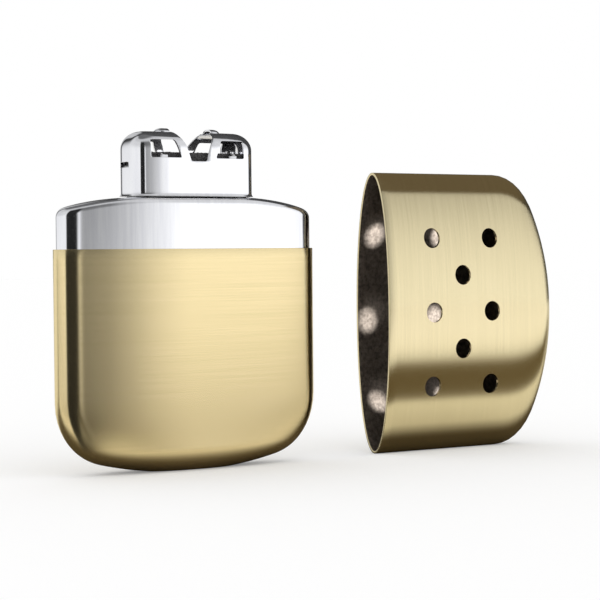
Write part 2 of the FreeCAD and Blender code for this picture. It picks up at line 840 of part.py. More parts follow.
def make_grip_spring(name, face):
    """A bowed leaf: its two ends lean on the sleeve, its middle comes nearest the neck."""
    body = new_part(name)
    back = burner_bore_thickness / 2 - v["sleeve_wall"]
    front = v["neck_thickness"] / 2 + v["spring_clearance"]
    bow = back - front - v["spring_sheet"]
    half = v["spring_length"] / 2
    middle = sleeve_bottom + v["sleeve_height"] / 2
    inner_radius = (half * half + bow * bow) / (2 * bow)
    outer_radius = inner_radius + v["spring_sheet"]
    centre = front + outer_radius
    turn = math.asin(float(half / inner_radius))
    facing = math.pi if face > 0 else 0
    sketch = new_sketch(body, "bowed_strip", "YZ_Plane")
    y = face * centre
    outer = add_arc(sketch, y, middle, outer_radius, facing - turn, facing + turn)
    inner = add_arc(sketch, y, middle, inner_radius, facing - turn, facing + turn)
    ends = []
    for angle in (facing - turn, facing + turn):
        points = [(float(y) + float(r) * math.cos(angle), float(middle) + float(r) * math.sin(angle))
                  for r in (inner_radius, outer_radius)]
        ends.append(add_line(sketch, points[0][0], points[0][1], points[1][0], points[1][1]))
    for line, arc_end in zip(ends, (1, 2)):
        hold(sketch, "Coincident", line, 1, inner, arc_end)
        hold(sketch, "Coincident", line, 2, outer, arc_end)
    hold(sketch, "Coincident", inner, 3, outer, 3)
    hold(sketch, "Radius", inner, inner_radius)
    hold(sketch, "Radius", outer, outer_radius)
    hold_point(sketch, inner, 3, y, middle)
    hold(sketch, "DistanceY", -1, 1, inner, 1, middle - half if face < 0 else middle + half)
    hold(sketch, "DistanceY", -1, 1, inner, 2, middle + half if face < 0 else middle - half)
    hold(sketch, "PointOnObject", inner, 3, ends[0])
    hold(sketch, "PointOnObject", inner, 3, ends[1])
    pad(body, "leaf", sketch, v["spring_width"], symmetric=True)


def make_burner():
    make_burner_housing()
    make_burner_sleeve()
    make_perforated_plate("catalyst_carrier", sleeve_top, v["carrier_thickness"],
                          v["carrier_hole"], v["carrier_hole_pitch"], draw_circle)
    make_perforated_plate("catalyst_gauze", carrier_top, v["gauze_thickness"],
                          v["gauze_opening"], v["gauze_pitch"], draw_square_hole)
    make_catalyst_mat()
    make_grip_spring("front_grip_spring", -1)
    make_grip_spring("rear_grip_spring", 1)


# ---------------------------------------------------------------- build, check and write
def check_document():
    for item in doc.Objects:
        if "Invalid" in item.State or "Error" in item.State:
            raise RuntimeError(f"{item.Name} failed: {item.State}")


def write_parts():
    os.makedirs("parts", exist_ok=True)
    for part in sub_parts:
        shape = part.Shape
        if shape.isNull() or not shape.isValid() or len(shape.Solids) != 1:
            raise RuntimeError(f"{part.Label}: bad shape, {len(shape.Solids)} solids")
        shape.exportStep(f"parts/{part.Label}.step")
        print(f"{part.Label}: {shape.Volume:.1f} mm3, {len(shape.Faces)} faces")


make_case_shell()
make_tank_dome()
make_dome_solder_seam()
make_neck_collar()
make_neck_solder_ring()
make_cotton_guard()
make_cotton()
make_burner()
make_cap_shell()
doc.recompute()
check_document()
write_parts()
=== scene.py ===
# Catalytic hand warmer: brushed gold tank and cap, chromed dome and burner.
# The sheet-metal pieces are drawn again here with smooth bends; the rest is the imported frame.
import math

import bmesh
import bpy
from mathutils import Matrix, Vector


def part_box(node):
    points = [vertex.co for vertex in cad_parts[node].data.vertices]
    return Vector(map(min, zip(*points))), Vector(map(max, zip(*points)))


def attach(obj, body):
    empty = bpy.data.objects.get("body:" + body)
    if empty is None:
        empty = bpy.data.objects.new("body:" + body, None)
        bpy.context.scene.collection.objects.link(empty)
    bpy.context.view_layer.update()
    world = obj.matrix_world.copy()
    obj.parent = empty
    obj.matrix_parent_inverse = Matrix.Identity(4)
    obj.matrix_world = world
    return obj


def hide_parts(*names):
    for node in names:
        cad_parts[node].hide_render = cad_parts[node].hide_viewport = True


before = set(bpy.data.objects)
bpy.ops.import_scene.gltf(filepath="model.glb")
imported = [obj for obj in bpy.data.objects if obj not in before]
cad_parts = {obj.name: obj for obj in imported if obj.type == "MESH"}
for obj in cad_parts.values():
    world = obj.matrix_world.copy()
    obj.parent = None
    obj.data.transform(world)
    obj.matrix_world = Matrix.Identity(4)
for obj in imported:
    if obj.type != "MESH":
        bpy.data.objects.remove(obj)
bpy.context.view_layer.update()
mm = 0.001


# what every piece shares
shared = {
    "merge": 0.001 * mm,          # points this close are one
    "sheetEdge": 0.12 * mm,       # how far the sheet's cut edges are eased
    "edgeAngle": 50, "smoothAngle": 35,      # degrees from which an edge is eased, and stays sharp
}


def srgb(hexText):
    # written colour to linear light
    channels = [int(hexText[i:i + 2], 16) / 255 for i in (1, 3, 5)]
    return tuple(c / 12.92 if c <= 0.04045 else ((c + 0.055) / 1.055) ** 2.4 for c in channels) + (1,)


def addNode(tree, kind, links=None, **settings):
    # a node with its settings, and what feeds each of its sockets: another node or a plain value
    node = tree.nodes.new(kind)
    for name, value in settings.items():
        setattr(node, name, value)
    for name, value in (links or {}).items():
        socket = node.inputs[name]
        if isinstance(value, bpy.types.NodeSocket):
            tree.links.new(value, socket)
        else:
            socket.default_value = value
    return node


def setStops(ramp, stops):
    # places from 0 to 1, each with a colour or a grey
    ramp.color_ramp.interpolation = "LINEAR"
    elements = ramp.color_ramp.elements
    while len(elements) > 1:
        elements.remove(elements[-1])
    for number, (place, value) in enumerate(stops):
        element = elements[0] if number == 0 else elements.new(place)
        element.position = place
        element.color = value if isinstance(value, tuple) else (value, value, value, 1)


def startMaterial(name):
    material = bpy.data.materials.new(name)
    material.use_nodes = True
    material.node_tree.nodes.clear()
    return material, material.node_tree


def finishMaterial(tree, shader):
    addNode(tree, "ShaderNodeOutputMaterial", {"Surface": shader})


def deselectAll():
    if bpy.context.mode != "OBJECT":
        bpy.ops.object.mode_set(mode="OBJECT")
    bpy.ops.object.select_all(action="DESELECT")


def activate(piece):
    deselectAll()
    piece.select_set(True)
    bpy.context.view_layer.objects.active = piece


def pick(piece, kind, test):
    # in edit mode: select only the vertices, edges or faces that pass the test
    bpy.ops.mesh.select_mode(type=kind)
    bpy.ops.mesh.select_all(action="DESELECT")
    shape = bmesh.from_edit_mesh(piece.data)
    items = {"VERT": shape.verts, "EDGE": shape.edges, "FACE": shape.faces}[kind]
    for item in items:
        if test(item):
            item.select_set(True)
    bmesh.update_edit_mesh(piece.data)


def applyModifier(piece, kind, **settings):
    activate(piece)
    modifier = piece.modifiers.new(kind.lower(), kind)
    for name, value in settings.items():
        setattr(modifier, name, value)
    bpy.ops.object.modifier_apply(modifier=modifier.name)


def carve(piece, tool, operation="DIFFERENCE"):
    # join the tool to the piece, or cut it out, and throw the tool away
    applyModifier(piece, "BOOLEAN", object=tool, operation=operation, solver="EXACT")
    bpy.data.objects.remove(tool)


def smoothByAngle(piece, degrees=shared["smoothAngle"]):
    activate(piece)
    bpy.ops.object.shade_smooth_by_angle(angle=math.radians(degrees))


def giveMaterials(piece, *materials):
    piece.data.materials.clear()
    for material in materials:
        piece.data.materials.append(material)


def facesOut(piece):
    # normals outward: most of the area must point away from the middle
    bpy.ops.mesh.select_all(action="SELECT")
    bpy.ops.mesh.remove_doubles(threshold=shared["merge"])
    bpy.ops.mesh.normals_make_consistent(inside=False)
    shape = bmesh.from_edit_mesh(piece.data)
    middle = sum((v.co for v in shape.verts), Vector()) / len(shape.verts)
    outward = sum((f.calc_center_median() - middle).dot(f.normal) * f.calc_area() for f in shape.faces)
    if outward < 0:
        bpy.ops.mesh.flip_normals()


# the camera: place, lens and sensor in mm, angles in radians, clipping in metres
cameraView = {
    "place": (-233.15, -387.39, 47.13),
    "yaw": 0.5972, "pitch": -0.0214, "roll": -0.0098,
    "lens": 120.94, "sensor": 36.0, "clip": (0.01, 50),
}


def placeCamera():
    view = cameraView
    bpy.ops.object.camera_add()
    camera = bpy.context.active_object
    camera.name = "camera"
    turn = (Matrix.Rotation(-view["yaw"], 4, "Z") @ Matrix.Rotation(math.pi / 2 + view["pitch"], 4, "X")
            @ Matrix.Rotation(view["roll"], 4, "Z"))
    camera.matrix_world = Matrix.Translation(Vector(view["place"]) * mm) @ turn
    camera.data.lens = view["lens"]
    camera.data.sensor_width = view["sensor"]
    camera.data.clip_start, camera.data.clip_end = view["clip"]
    bpy.context.scene.camera = camera


# the studio: a bright tent with black cards, a pale floor that polished metal sees painted with stripes,
# a flag over the cap that paints a dark reflection, and a lamp that shines in through the cap's vents
studio = {
    # brightness by compass angle in degrees, where 0 is +X and -90 is in front
    "walls": [(-180, 1.0), (-129, 1.0), (-127, 0.02), (-103.3, 0.015), (-102, 1.05), (-99.3, 1.05),
              (-97.8, 0.40), (-90, 0.42), (-80, 0.53), (-73.5, 0.66), (-68.5, 0.90), (-64.3, 1.10),
              (-60.5, 1.38), (-36, 1.36), (-15, 1.15), (-13, 0.06), (62, 0.06), (68, 0.6),
              (92, 0.6), (98, 0.05), (105, 0.04), (112, 0.95), (180, 1.0)],
    "shelf": [(-180, 0.75), (-129, 0.75), (-127, 0.02), (-103.3, 0.02), (-102, 0.15), (-80, 0.20),
              (-65, 0.75), (-15, 0.8), (-13, 0.06), (62, 0.06), (68, 0.6), (92, 0.6), (98, 0.05),
              (106, 0.05), (120, 0.75), (180, 0.75)],
    "ceiling": [(-180, 0.62), (-12, 0.62), (-5, 0.08), (106, 0.08), (115, 0.62), (180, 0.62)],
    "zenith": 0.16,
    # degrees up between which each fades into the next
    "shelfFrom": (-2, 28), "ceilingFrom": (40, 60), "zenithFrom": (64, 76),
    "fill": 0.95,      # the tent as everything but polished metal sees it
    "lampPlace": (131, -84, 45), "lampAim": (70, 0, 34), "lampSize": (12, 12),      # mm
    "lampWatts": 2.6,
    "floorSize": 8.0,      # metres
    "floorTone": (0.86, 0.86, 0.86, 1), "floorGlow": 0.18,
    # the floor as polished metal sees it, painted reflections: stripes along X by their distance in front,
    # in metres, dark near the foot as painted shade and bright further out as painted highlights, times a
    # tone by compass angle round the tank's left corner, in mm, that paints a dark sector
    "floorPaintedReflections": [(-0.09, (0.95, 0.93, 0.88, 1)), (-0.035, (0.80, 0.76, 0.66, 1)),
                   (-0.022, (0.10, 0.08, 0.05, 1)), (0.0, (0.10, 0.08, 0.05, 1)),
                   (0.007, (0.14, 0.11, 0.07, 1)), (0.014, (1.00, 0.96, 0.84, 1)),
                   (0.034, (1.08, 1.04, 0.92, 1)), (0.040, (0.16, 0.12, 0.06, 1)),
                   (0.104, (0.16, 0.12, 0.06, 1)), (0.128, (1.10, 1.08, 1.02, 1)),
                   (0.18, (1.38, 1.36, 1.32, 1)), (0.32, (1.40, 1.38, 1.36, 1))],
    "floorPaintedReflectionAngles": [(-180, 1.0), (-129, 1.0), (-127, 0.02), (-103.3, 0.02), (-102, 0.7), (-97.8, 0.20),
                    (-80, 0.30), (-70, 0.55), (-60, 1.0), (180, 1.0)],
    "floorCorner": (-31, -3, 0),
    # a glowing sheet over the cap that only reflections see: a painted dark reflection
    "flagPlace": (85, -4, 72), "flagSize": (76, 24),      # mm
    "flagReflectionTone": (0.16, 0.13, 0.09, 1),
}


def compassTones(tree, direction, *names):
    # for each of the studio's lists named: its brightness at the compass angle of a direction
    parts = addNode(tree, "ShaderNodeSeparateXYZ", {0: direction})
    angle = addNode(tree, "ShaderNodeMath", {0: parts.outputs["Y"], 1: parts.outputs["X"]},
                    operation="ARCTAN2")
    share = addNode(tree, "ShaderNodeMapRange", {"Value": angle.outputs[0], "From Min": -math.pi,
                                                 "From Max": math.pi})
    tones = {}
    for part in names:
        tones[part] = addNode(tree, "ShaderNodeValToRGB", {"Fac": share.outputs[0]})
        setStops(tones[part], [((degrees + 180) / 360, value) for degrees, value in studio[part]])
    return tones, parts


def buildStudio():
    world = bpy.data.worlds.new("tent")
    bpy.context.scene.world = world
    world.use_nodes = True
    tree = world.node_tree
    tree.nodes.clear()
    where = addNode(tree, "ShaderNodeTexCoord")
    tones, parts = compassTones(tree, where.outputs["Generated"], "walls", "shelf", "ceiling")
    tent = tones["walls"].outputs["Color"]
    for fade, tone in (("shelfFrom", tones["shelf"].outputs["Color"]),
                       ("ceilingFrom", tones["ceiling"].outputs["Color"]),
                       ("zenithFrom", studio["zenith"])):
        low, high = (math.sin(math.radians(degrees)) for degrees in studio[fade])
        share = addNode(tree, "ShaderNodeMapRange", {"Value": parts.outputs["Z"], "From Min": low,
                                                     "From Max": high}, interpolation_type="SMOOTHSTEP")
        tent = addNode(tree, "ShaderNodeMix", {"Factor": share.outputs[0], "A": tent, "B": tone},
                       data_type="FLOAT").outputs[0]
    rays = addNode(tree, "ShaderNodeLightPath")
    cards = addNode(tree, "ShaderNodeMix", {"Factor": rays.outputs["Is Glossy Ray"], "A": studio["fill"],
                                            "B": tent}, data_type="FLOAT")
    strength = addNode(tree, "ShaderNodeMix", {"Factor": rays.outputs["Is Camera Ray"],
                                               "A": cards.outputs[0], "B": 1.0}, data_type="FLOAT")
    light = addNode(tree, "ShaderNodeBackground", {"Color": (1, 1, 1, 1), "Strength": strength.outputs[0]})
    addNode(tree, "ShaderNodeOutputWorld", {"Surface": light.outputs[0]})

    deselectAll()
    bpy.ops.mesh.primitive_plane_add(size=studio["floorSize"])
    floor = bpy.context.active_object
    floor.name = "floor"
    giveMaterials(floor, floorMaterial())
    addFlag()


def addFlag():
    # a sheet over the cap that only reflections see, glowing a dim brown: a painted dark reflection on the
    # cap's top
    deselectAll()
    bpy.ops.mesh.primitive_plane_add(size=mm)
    flag = bpy.context.active_object
    flag.name = "flag_over_cap"
    flag.location = Vector(studio["flagPlace"]) * mm
    flag.scale = (*studio["flagSize"], 1)
    material, tree = startMaterial("painted_dark_reflection_flag")
    finishMaterial(tree, addNode(tree, "ShaderNodeEmission", {"Color": studio["flagReflectionTone"]}).outputs[0])
    giveMaterials(flag, material)
    for kind in ("camera", "diffuse", "transmission", "shadow"):
        setattr(flag, "visible_" + kind, False)


def addVentLamp(cap):
    # shines through the front vents on to the cap's dull inside, and lights nothing else
    bpy.ops.object.light_add(type="AREA")
    lamp = bpy.context.active_object
    lamp.name = "vent_lamp"
    place = Vector(studio["lampPlace"]) * mm
    lamp.location = place
    lamp.rotation_euler = (Vector(studio["lampAim"]) * mm - place).to_track_quat("-Z", "Y").to_euler()
    lamp.data.shape = "RECTANGLE"
    lamp.data.size, lamp.data.size_y = (side * mm for side in studio["lampSize"])
    lamp.data.energy = studio["lampWatts"]
    lamp.visible_glossy = lamp.visible_camera = False
    lit = bpy.data.collections.new("lit_by_vent_lamp")
    lit.objects.link(cap)
    lamp.light_linking.receiver_collection = lit


def floorMaterial():
    # matt white board; polished metal sees it with painted stripes and a dark sector instead: painted
    # reflections and painted shade, some brighter than white
    material, tree = startMaterial("white_board_with_painted_reflections")
    where = addNode(tree, "ShaderNodeTexCoord")
    away = addNode(tree, "ShaderNodeSeparateXYZ", {0: where.outputs["Object"]})
    behind, ahead = (studio["floorPaintedReflections"][end][0] for end in (0, -1))
    share = addNode(tree, "ShaderNodeMapRange", {"Value": away.outputs["Y"], "From Min": -behind,
                                                 "From Max": -ahead})
    tones = addNode(tree, "ShaderNodeValToRGB", {"Fac": share.outputs[0]})
    setStops(tones, [((distance - behind) / (ahead - behind), value)
                     for distance, value in studio["floorPaintedReflections"]])
    # the dark sector round the tank's left corner is painted shade in the reflections
    corner = Vector(studio["floorCorner"]) * mm
    fromCorner = addNode(tree, "ShaderNodeVectorMath", {0: where.outputs["Object"], 1: corner},
                         operation="SUBTRACT")
    around = compassTones(tree, fromCorner.outputs[0], "floorPaintedReflectionAngles")[0]["floorPaintedReflectionAngles"]
    metal = addNode(tree, "ShaderNodeVectorMath", {0: tones.outputs["Color"], 1: around.outputs["Color"]},
                    operation="MULTIPLY")
    rays = addNode(tree, "ShaderNodeLightPath")
    tone = addNode(tree, "ShaderNodeMixRGB", {0: rays.outputs["Is Glossy Ray"], 1: studio["floorTone"],
                                              2: metal.outputs[0]})
    board = addNode(tree, "ShaderNodeBsdfDiffuse", {"Color": tone.outputs[0]})
    glow = addNode(tree, "ShaderNodeEmission", {"Strength": studio["floorGlow"]})
    lit = addNode(tree, "ShaderNodeAddShader", {0: board.outputs[0], 1: glow.outputs[0]})
    seen = addNode(tree, "ShaderNodeMixShader", {0: rays.outputs["Is Camera Ray"], 1: board.outputs[0],
                                                 2: lit.outputs[0]})
    finishMaterial(tree, seen.outputs[0])
    return material


# the gold's brush marks and clouding: sizes in mm
gold = {
    "markLength": 45, "markSpacing": 0.26, "cloudSize": 18.18, "cloudShare": 0.25,
    "tonesFrom": 0.3, "toneStep": 0.2, "roughness": (0.22, 0.19), "bump": 0.02, "bumpHeight": 0.01,
    "anisotropy": 1.0, "acrossTheMarks": 0.25,
}


def brushedGold(name, brushAxis, *colours):
    # gold plate over brass linished with a fine belt: mirror-sharp along the brush lines,
    # a broad soft glow across them
    material, tree = startMaterial(name)
    where = addNode(tree, "ShaderNodeTexCoord")
    long, fine = 1 / (gold["markLength"] * mm), 1 / (gold["markSpacing"] * mm)
    scales = {"X": (long, long, fine), "Z": (fine, long, long)}[brushAxis]
    stretch = addNode(tree, "ShaderNodeMapping", {"Vector": where.outputs["Object"], "Scale": scales})
    marks = addNode(tree, "ShaderNodeTexNoise", {"Vector": stretch.outputs[0], "Scale": 1.0, "Detail": 4.0,
                                                 "Roughness": 0.62})
    cloud = addNode(tree, "ShaderNodeTexNoise", {"Vector": where.outputs["Object"],
                                                 "Scale": 1 / (gold["cloudSize"] * mm), "Detail": 2.0})
    both = addNode(tree, "ShaderNodeMix", {"Factor": gold["cloudShare"], "A": marks.outputs["Fac"],
                                           "B": cloud.outputs["Fac"]}, data_type="FLOAT")
    colour = addNode(tree, "ShaderNodeValToRGB", {"Fac": both.outputs[0]})
    setStops(colour, [(gold["tonesFrom"] + gold["toneStep"] * number, srgb(tone))
                      for number, tone in enumerate(colours)])
    rough = addNode(tree, "ShaderNodeMapRange", {
        "Value": marks.outputs["Fac"], "From Min": 0.3, "From Max": 0.7,
        "To Min": gold["roughness"][0], "To Max": gold["roughness"][1]})
    bump = addNode(tree, "ShaderNodeBump", {"Height": marks.outputs["Fac"], "Strength": gold["bump"],
                                            "Distance": gold["bumpHeight"] * mm})
    across = addNode(tree, "ShaderNodeTangent", direction_type="RADIAL",
                     axis={"X": "Z", "Z": "X"}[brushAxis])
    shader = addNode(tree, "ShaderNodeBsdfPrincipled", {
        "Base Color": colour.outputs[0], "Metallic": 1.0, "Roughness": rough.outputs[0],
        "Anisotropic": gold["anisotropy"], "Anisotropic Rotation": gold["acrossTheMarks"],
        "Normal": bump.outputs[0], "Tangent": across.outputs[0]})
    finishMaterial(tree, shader.outputs[0])
    return material


polishLines = (0.9, 4, 16)      # mm along X, Y and Z


def polishedChrome():
    # chromium plate on polished brass: near mirror, with the faintest polishing lines
    material, tree = startMaterial("polished_chrome_plate")
    where = addNode(tree, "ShaderNodeTexCoord")
    stretch = addNode(tree, "ShaderNodeMapping", {"Vector": where.outputs["Object"],
                                                  "Scale": [1 / (size * mm) for size in polishLines]})
    lines = addNode(tree, "ShaderNodeTexNoise", {"Vector": stretch.outputs[0], "Scale": 1.0, "Detail": 3.0})
    rough = addNode(tree, "ShaderNodeMapRange", {"Value": lines.outputs["Fac"], "From Min": 0.3,
                                                 "From Max": 0.7, "To Min": 0.05, "To Max": 0.10})
    bump = addNode(tree, "ShaderNodeBump", {"Height": lines.outputs["Fac"], "Strength": 0.015,
                                            "Distance": 0.05 * mm})
    colour = addNode(tree, "ShaderNodeValToRGB", {"Fac": lines.outputs["Fac"]})
    setStops(colour, [(0.3, srgb("#E6E7EC")), (0.7, srgb("#F2F3F6"))])
    shader = addNode(tree, "ShaderNodeBsdfPrincipled", {
        "Base Color": colour.outputs[0], "Metallic": 1.0, "Roughness": rough.outputs[0],
        "Normal": bump.outputs[0]})
    finishMaterial(tree, shader.outputs[0])
    return material


nickelGrain = 0.9      # mm


def grainyNickel():
    # the cap's inside: dull nickel over unpolished, slightly grained sheet, its tones kept dark as painted
    # shade in the cap's hollow
    material, tree = startMaterial("dull_nickel_with_painted_shade")
    where = addNode(tree, "ShaderNodeTexCoord")
    grain = addNode(tree, "ShaderNodeTexNoise", {"Vector": where.outputs["Object"],
                                                 "Scale": 1 / (nickelGrain * mm), "Detail": 5.0,
                                                 "Roughness": 0.65})
    colour = addNode(tree, "ShaderNodeValToRGB", {"Fac": grain.outputs["Fac"]})
    # dark tones: the nickel's grain, and painted shade of the cap's hollow
    setStops(colour, [(0.35, srgb("#5E564F")), (0.65, srgb("#8C8278"))])
    rough = addNode(tree, "ShaderNodeMapRange", {"Value": grain.outputs["Fac"], "From Min": 0.3,
                                                 "From Max": 0.7, "To Min": 0.28, "To Max": 0.40})
    bump = addNode(tree, "ShaderNodeBump", {"Height": grain.outputs["Fac"], "Strength": 0.5,
                                            "Distance": 0.08 * mm})
    shader = addNode(tree, "ShaderNodeBsdfPrincipled", {
        "Base Color": colour.outputs[0], "Metallic": 0.75, "Roughness": rough.outputs[0],
        "Normal": bump.outputs[0]})
    finishMaterial(tree, shader.outputs[0])
    return material


def plainMetal(name, low, high, roughLow, roughHigh, grainSize):
    # sheet, wire or solder inside the warmer: two close tones and a grain of that size in metres
    material, tree = startMaterial(name)
    where = addNode(tree, "ShaderNodeTexCoord")
    grain = addNode(tree, "ShaderNodeTexNoise", {"Vector": where.outputs["Object"], "Scale": 1 / grainSize,
                                                 "Detail": 4.0})
    colour = addNode(tree, "ShaderNodeValToRGB", {"Fac": grain.outputs["Fac"]})
    setStops(colour, [(0.35, srgb(low)), (0.65, srgb(high))])
    rough = addNode(tree, "ShaderNodeMapRange", {"Value": grain.outputs["Fac"], "From Min": 0.3,
                                                 "From Max": 0.7, "To Min": roughLow, "To Max": roughHigh})
    bump = addNode(tree, "ShaderNodeBump", {"Height": grain.outputs["Fac"], "Strength": 0.2,
                                            "Distance": 0.04 * mm})
    shader = addNode(tree, "ShaderNodeBsdfPrincipled", {
        "Base Color": colour.outputs[0], "Metallic": 1.0, "Roughness": rough.outputs[0],
        "Normal": bump.outputs[0]})
    finishMaterial(tree, shader.outputs[0])
    return material


def fibre(name, low, high, strandSize, bumpStrength):
    # matted fibre: short strands that cross, with dark gaps between them
    material, tree = startMaterial(name)
    where = addNode(tree, "ShaderNodeTexCoord")
    strands = addNode(tree, "ShaderNodeTexNoise", {"Vector": where.outputs["Object"],
                                                   "Scale": 1 / strandSize, "Detail": 6.0, "Roughness": 0.7,
                                                   "Distortion": 1.2})
    colour = addNode(tree, "ShaderNodeValToRGB", {"Fac": strands.outputs["Fac"]})
    setStops(colour, [(0.35, srgb(low)), (0.62, srgb(high))])
    bump = addNode(tree, "ShaderNodeBump", {"Height": strands.outputs["Fac"], "Strength": bumpStrength,
                                            "Distance": 0.3 * mm})
    shader = addNode(tree, "ShaderNodeBsdfPrincipled", {
        "Base Color": colour.outputs[0], "Roughness": 0.95, "Sheen Weight": 0.25, "Sheen Roughness": 0.5,
        "Normal": bump.outputs[0]})
    finishMaterial(tree, shader.outputs[0])
    return material


goldAcross = brushedGold("brushed_gold_plate_case", "X", "#ECDBA9", "#EFDDAD", "#F1DFB1")
goldUpright = brushedGold("brushed_gold_plate_cap", "Z", "#DBCEA7", "#DFD2AB", "#E3D6B0")
chrome = polishedChrome()
# the cap's inside, darker as painted shade
nickelWithPaintedShade = grainyNickel()
# cold rolled, so a plain grey with a soft sheen
stainless = plainMetal("rolled_stainless_sheet", "#8E8F91", "#B4B5B6", 0.28, 0.42, 0.8 * mm)
# hardened and tempered, so dark with a blue cast
springStrip = plainMetal("blued_spring_strip", "#4E535C", "#6E747E", 0.25, 0.4, 0.6 * mm)
# tin and lead as it flowed, so pale and cloudy
solder = plainMetal("soft_solder", "#9A9C9E", "#BFC1C2", 0.35, 0.55, 1.5 * mm)
# glass fibre dipped in platinum salt and fired, so nearly black
catalystFibre = fibre("platinum_glass_fibre", "#1C1B1D", "#5A5859", 0.35 * mm, 0.9)
# bleached and carded, so off-white and soft
cottonFibre = fibre("carded_cotton", "#D9D6CC", "#F6F4EE", 0.5 * mm, 0.7)
# needled and pressed, so closer and greyer than the cotton
feltFibre = fibre("pressed_grey_felt", "#A6A39B", "#CFCCC4", 0.3 * mm, 0.6)
print("materials made")


# the tank's case and the cap are cups drawn from sheet: how finely they are modelled, and how
# full their oval section is
cupDetail = {"around": 200, "fullness": 2.1, "cornerSteps": 8, "roundSteps": 14, "wallRow": 2.4 * mm}


def ovalRing(name, width, thickness, level, fullness=cupDetail["fullness"]):
    # an open ring: fullness 2 is an ellipse, and more fills its corners
    deselectAll()
    bpy.ops.mesh.primitive_circle_add(vertices=cupDetail["around"], radius=0.5, location=(0, 0, level))
    ring = bpy.context.active_object
    ring.name = name
    bpy.ops.object.transform_apply(location=True, rotation=True, scale=True)
    bpy.ops.object.mode_set(mode="EDIT")
    shape = bmesh.from_edit_mesh(ring.data)
    power = 2 / fullness
    for vertex in shape.verts:
        x, y = (math.copysign(abs(2 * share) ** power, share) / 2 for share in vertex.co.xy)
        vertex.co = (x * width, y * thickness, level)
    bmesh.update_edit_mesh(ring.data)
    bpy.ops.mesh.select_mode(type="VERT")
    bpy.ops.mesh.select_all(action="SELECT")
    return ring


def cupLevels(form):
    # heights from the mouth down to the foot, each with the oval's width and thickness shares
    half = form["width"] / 2
    corner, arch, roundness = form["corner"], form["arch"], form["round"]
    cornerX = half - corner
    reach = arch - corner
    cornerZ = arch - math.sqrt(reach ** 2 - cornerX ** 2)
    meeting = arch - arch * (arch - cornerZ) / reach
    rows = max(2, round((form["height"] - cornerZ) / cupDetail["wallRow"]))
    heights = [form["height"] - (form["height"] - cornerZ) * row / rows for row in range(rows + 1)]
    steps = cupDetail["cornerSteps"]
    heights += [cornerZ - (cornerZ - roundness) * math.sin(math.pi / 2 * step / steps)
                for step in range(1, steps)]
    steps = cupDetail["roundSteps"]
    firstTurn = math.acos(1 - form["flat"] / roundness)
    turns = [math.pi / 2 + (firstTurn - math.pi / 2) * step / steps for step in range(steps + 1)]
    heights += [roundness * (1 - math.cos(turn)) for turn in turns]
    levels = []
    for height in heights:
        if height < meeting:
            x = math.sqrt(arch ** 2 - (arch - height) ** 2)
        elif height < cornerZ:
            x = cornerX + math.sqrt(corner ** 2 - (cornerZ - height) ** 2)
        else:
            x = half
        rest = max(0, (roundness - height) / roundness)
        levels.append((height, x / half, math.sqrt(1 - rest ** 2)))
    return levels


def buildCup(name, form):
    # standing mouth up with its lowest flat at level 0
    levels = cupLevels(form)
    cup = ovalRing(name, form["width"], form["thickness"], form["height"])
    for above, below in zip(levels, levels[1:]):
        bpy.ops.mesh.extrude_region_move(TRANSFORM_OT_translate={"value": (0, 0, below[0] - above[0])})
        bpy.ops.transform.resize(value=(below[1] / above[1], below[2] / above[2], 1),
                                 center_override=(0, 0, below[0]))
    bpy.ops.mesh.edge_face_add()
    bpy.ops.mesh.select_all(action="SELECT")
    bpy.ops.transform.translate(value=(0, 0, -form["flat"]))
    facesOut(cup)
    bpy.ops.object.mode_set(mode="OBJECT")
    return cup


def cupForm(node, wide, high, shape):
    # the node's own size, with the shape's values in metres
    low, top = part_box(node)
    size = top - low
    form = {key: value * mm for key, value in shape.items()}
    form.update(width=size[wide], thickness=size.y, height=size[high] + form["flat"])
    return form


def giveWall(cup, wall):
    # the sheet's wall grows inwards, and its cut edge is eased
    applyModifier(cup, "SOLIDIFY", thickness=wall, offset=-1, use_even_offset=True,
                  material_offset=1, material_offset_rim=0)
    applyModifier(cup, "BEVEL", width=shared["sheetEdge"], segments=2, limit_method="ANGLE",
                  angle_limit=math.radians(shared["edgeAngle"]))


# mm: sheet, corner radius of the outline, radius of the arched bottom, round along the bottom's
# edge, and how much of the bottom the standing flat takes off
caseShape = {"wall": 0.6, "corner": 14.2, "arch": 97.0, "round": 5.8, "flat": 0.6}


def buildCase():
    form = cupForm("case_shell", 0, 2, caseShape)
    case = buildCup("tank_case", form)
    giveMaterials(case, goldAcross, stainless)
    giveWall(case, form["wall"])
    smoothByAngle(case)
    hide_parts("case_shell")
    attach(case, "tank")


def buildSeam():
    # the solder run in between the case and the upper shell's skirt
    low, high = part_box("dome_solder_seam")
    case, dome = ((top - bottom).xy for bottom, top in (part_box("case_shell"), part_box("tank_dome")))
    outside = case - Vector((2, 2)) * caseShape["wall"] * mm
    seam = ovalRing("solder_run", outside.x, outside.y, low.z)
    bpy.ops.mesh.extrude_region_move(TRANSFORM_OT_translate={"value": (0, 0, high.z - low.z)})
    bpy.ops.mesh.extrude_region_move(TRANSFORM_OT_translate={"value": (0, 0, 0)})
    bpy.ops.transform.resize(value=(dome.x / outside.x, dome.y / outside.y, 1),
                             center_override=(0, 0, high.z))
    bpy.ops.mesh.extrude_region_move(TRANSFORM_OT_translate={"value": (0, 0, low.z - high.z)})
    pick(seam, "EDGE", lambda edge: edge.is_boundary)
    bpy.ops.mesh.bridge_edge_loops()
    bpy.ops.mesh.select_all(action="SELECT")
    bpy.ops.mesh.normals_make_consistent(inside=False)
    bpy.ops.object.mode_set(mode="OBJECT")
    giveMaterials(seam, solder)
    smoothByAngle(seam)
    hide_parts("dome_solder_seam")
    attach(seam, "tank")


# mm, as the case's; then the vents: their pitch along the cap and across it, and the rows that
# each column from the rim fills
capShape = {"wall": 0.6, "corner": 11.5, "arch": 68.0, "round": 5.0, "flat": 0.35}
vents = {"diameter": 4.8, "firstFromRim": 13.4, "column": 8.9, "row": 8.9,
         "rows": ((-2, 0, 2), (-1, 1), (-2, 0, 2)), "sides": 40}


